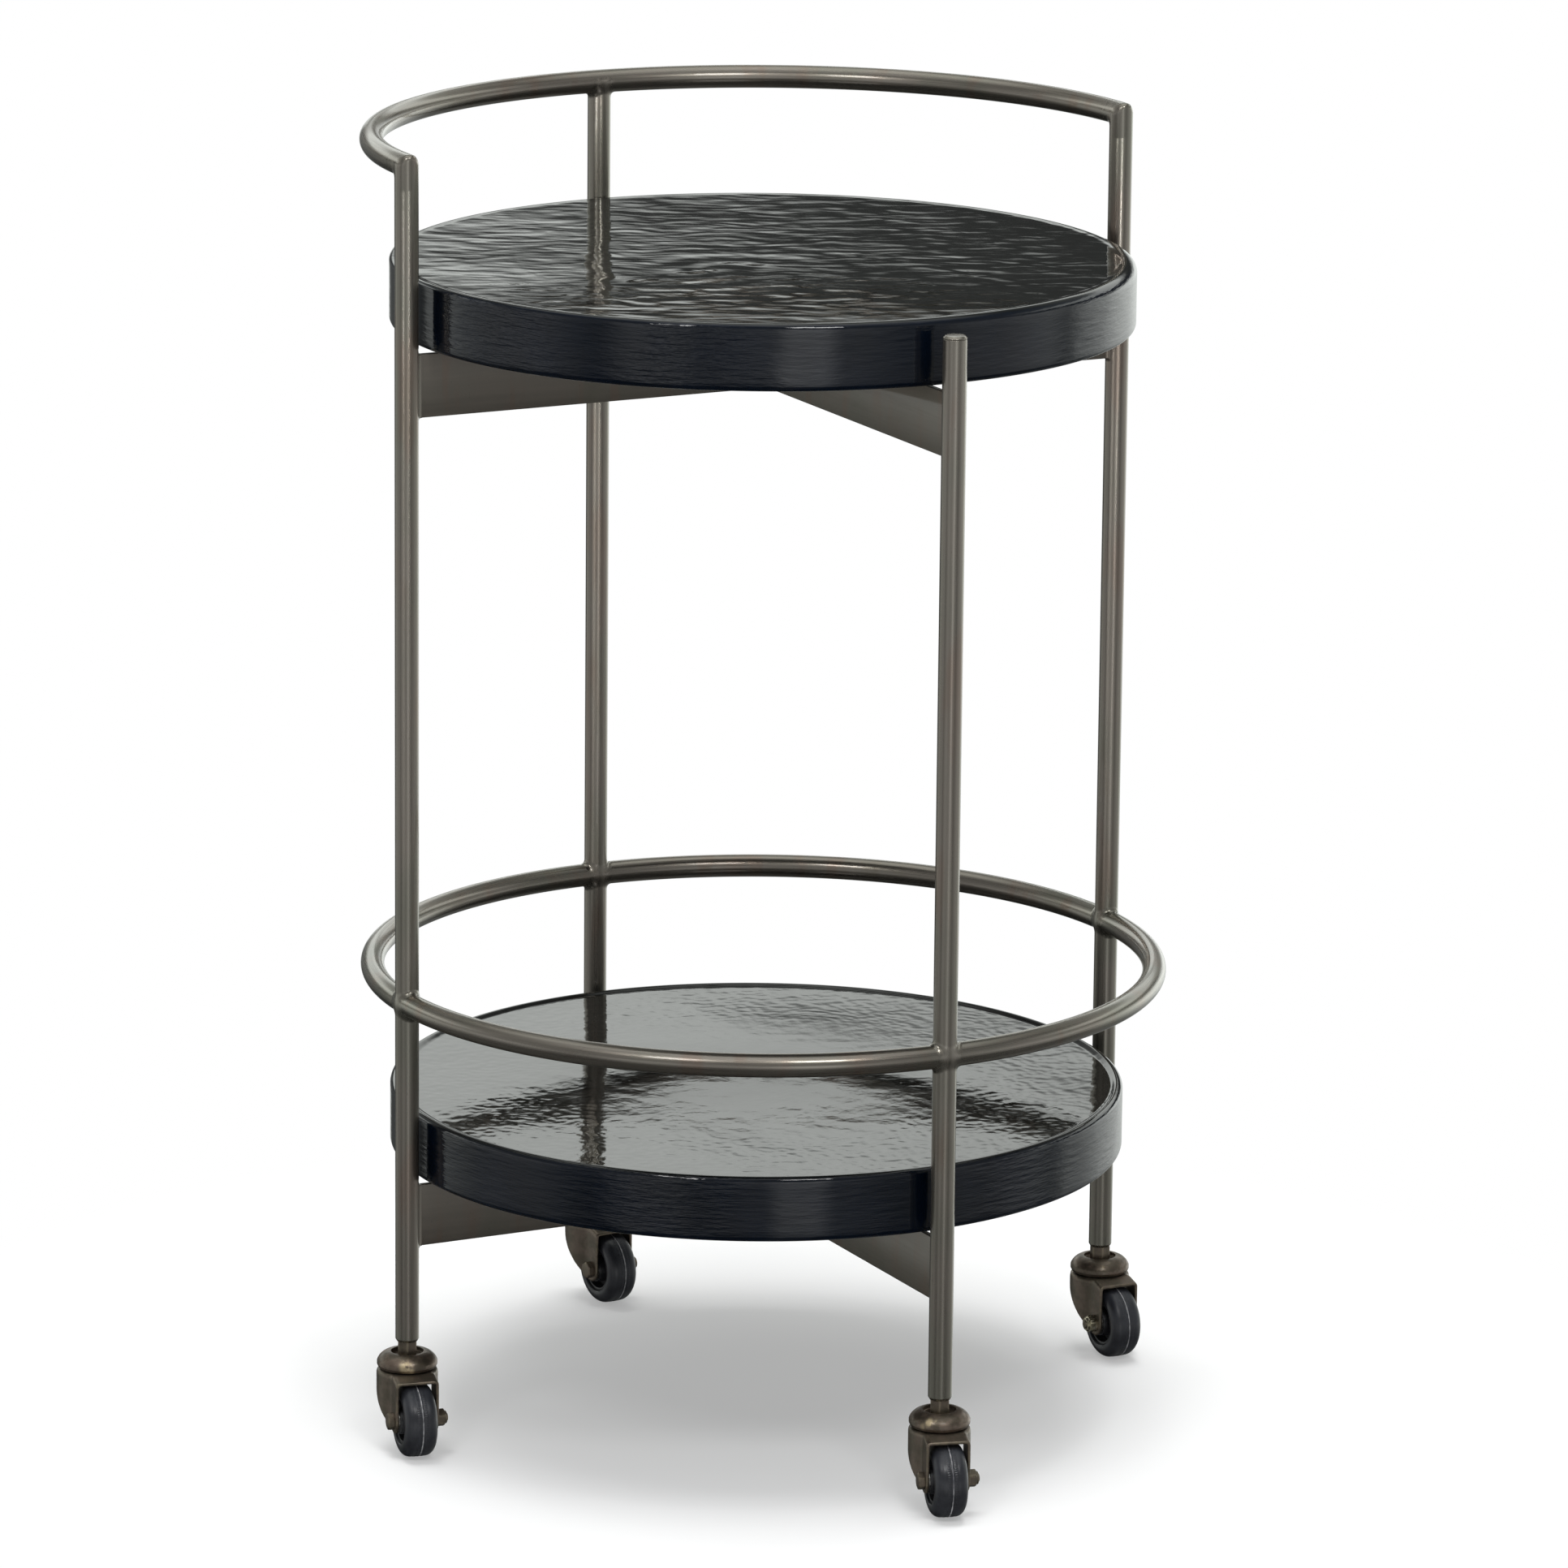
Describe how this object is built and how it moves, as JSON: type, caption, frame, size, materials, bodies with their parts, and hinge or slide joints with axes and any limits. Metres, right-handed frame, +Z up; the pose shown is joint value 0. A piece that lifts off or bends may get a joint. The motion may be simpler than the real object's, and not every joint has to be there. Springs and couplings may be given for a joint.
{
  "type": "round bar cart with swivel casters",
  "caption": "Round bar cart: welded tube frame with a half-circle gallery rail and a lower guard ring, two thick black cast-glass shelves, swivel casters.",
  "frame": {"origin": "on the floor, on the axis of the circle of posts", "axes": "+Z up; the short post and the open front of the gallery rail are at -Y; +X to the right seen from the front"},
  "size_m": [0.5415, 0.5617, 0.8305],
  "materials": {
    "frame_metal": "antiqued gunmetal bronze, brushed along the tube, lacquered",
    "caster_bronze": "dark antique bronze, rubbed to brass on the high spots",
    "bearing_steel": "bright zinc",
    "black_glass": "black cast glass, rippled top, fire-polished side",
    "bumper_rubber": "matt",
    "wheel_plastic": "moulded",
    "tyre_rubber": "semi-gloss, with mould line"
  },
  "bodies": {
    "frame": {"left_post": "frame_metal", "front_post": "frame_metal", "right_post": "frame_metal", "back_post": "frame_metal", "front_post_disc": "frame_metal", "left_leg": "frame_metal", "front_leg": "frame_metal", "right_leg": "frame_metal", "back_leg": "frame_metal", "gallery_rail": "frame_metal", "lower_ring": "frame_metal", "upper_bar_front_back": "frame_metal", "upper_bar_left_right": "frame_metal", "lower_bar_front_back": "frame_metal", "lower_bar_left_right": "frame_metal", "thread_inserts": "bearing_steel", "upper_glass": "black_glass", "lower_glass": "black_glass", "upper_bumpers": "bumper_rubber", "lower_bumpers": "bumper_rubber", "bearing_balls": "bearing_steel", "left_caster_stem": "caster_bronze", "left_caster_race_cap": "caster_bronze", "front_caster_stem": "caster_bronze", "front_caster_race_cap": "caster_bronze", "right_caster_stem": "caster_bronze", "right_caster_race_cap": "caster_bronze", "back_caster_stem": "caster_bronze", "back_caster_race_cap": "caster_bronze"},
    "left_caster": {"left_caster_fork": "caster_bronze", "left_caster_axle_bolt": "caster_bronze", "left_caster_axle_nut": "caster_bronze", "left_caster_axle_sleeve": "bearing_steel", "left_caster_thrust_washers": "bearing_steel"},
    "left_wheel": {"left_caster_wheel_core": "wheel_plastic", "left_caster_tyre": "tyre_rubber"},
    "front_caster": {"front_caster_fork": "caster_bronze", "front_caster_axle_bolt": "caster_bronze", "front_caster_axle_nut": "caster_bronze", "front_caster_axle_sleeve": "bearing_steel", "front_caster_thrust_washers": "bearing_steel"},
    "front_wheel": {"front_caster_wheel_core": "wheel_plastic", "front_caster_tyre": "tyre_rubber"},
    "right_caster": {"right_caster_fork": "caster_bronze", "right_caster_axle_bolt": "caster_bronze", "right_caster_axle_nut": "caster_bronze", "right_caster_axle_sleeve": "bearing_steel", "right_caster_thrust_washers": "bearing_steel"},
    "right_wheel": {"right_caster_wheel_core": "wheel_plastic", "right_caster_tyre": "tyre_rubber"},
    "back_caster": {"back_caster_fork": "caster_bronze", "back_caster_axle_bolt": "caster_bronze", "back_caster_axle_nut": "caster_bronze", "back_caster_axle_sleeve": "bearing_steel", "back_caster_thrust_washers": "bearing_steel"},
    "back_wheel": {"back_caster_wheel_core": "wheel_plastic", "back_caster_tyre": "tyre_rubber"}
  },
  "joints": [
    {"name": "left_swivel", "type": "hinge", "parent": "frame", "child": "left_caster", "pos_m": [-0.25, 0, 0.0526], "axis": [0, 0, 1], "continuous": true},
    {"name": "left_wheel_roll", "type": "hinge", "parent": "left_caster", "child": "left_wheel", "pos_m": [-0.2533, -0.01871, 0.0235], "axis": [0.9848, -0.1736, 0], "continuous": true},
    {"name": "front_swivel", "type": "hinge", "parent": "frame", "child": "front_caster", "pos_m": [0, -0.25, 0.0526], "axis": [0, 0, 1], "continuous": true},
    {"name": "front_wheel_roll", "type": "hinge", "parent": "front_caster", "child": "front_wheel", "pos_m": [-0.00492, -0.26835, 0.0235], "axis": [0.9659, -0.2588, 0], "continuous": true},
    {"name": "right_swivel", "type": "hinge", "parent": "frame", "child": "right_caster", "pos_m": [0.25, 0, 0.0526], "axis": [0, 0, 1], "continuous": true},
    {"name": "right_wheel_roll", "type": "hinge", "parent": "right_caster", "child": "right_wheel", "pos_m": [0.25, -0.019, 0.0235], "axis": [1, 0, 0], "continuous": true},
    {"name": "back_swivel", "type": "hinge", "parent": "frame", "child": "back_caster", "pos_m": [0, 0.25, 0.0526], "axis": [0, 0, 1], "continuous": true},
    {"name": "back_wheel_roll", "type": "hinge", "parent": "back_caster", "child": "back_wheel", "pos_m": [0.00166, 0.23107, 0.0235], "axis": [0.9962, 0.0872, 0], "continuous": true}
  ]
}
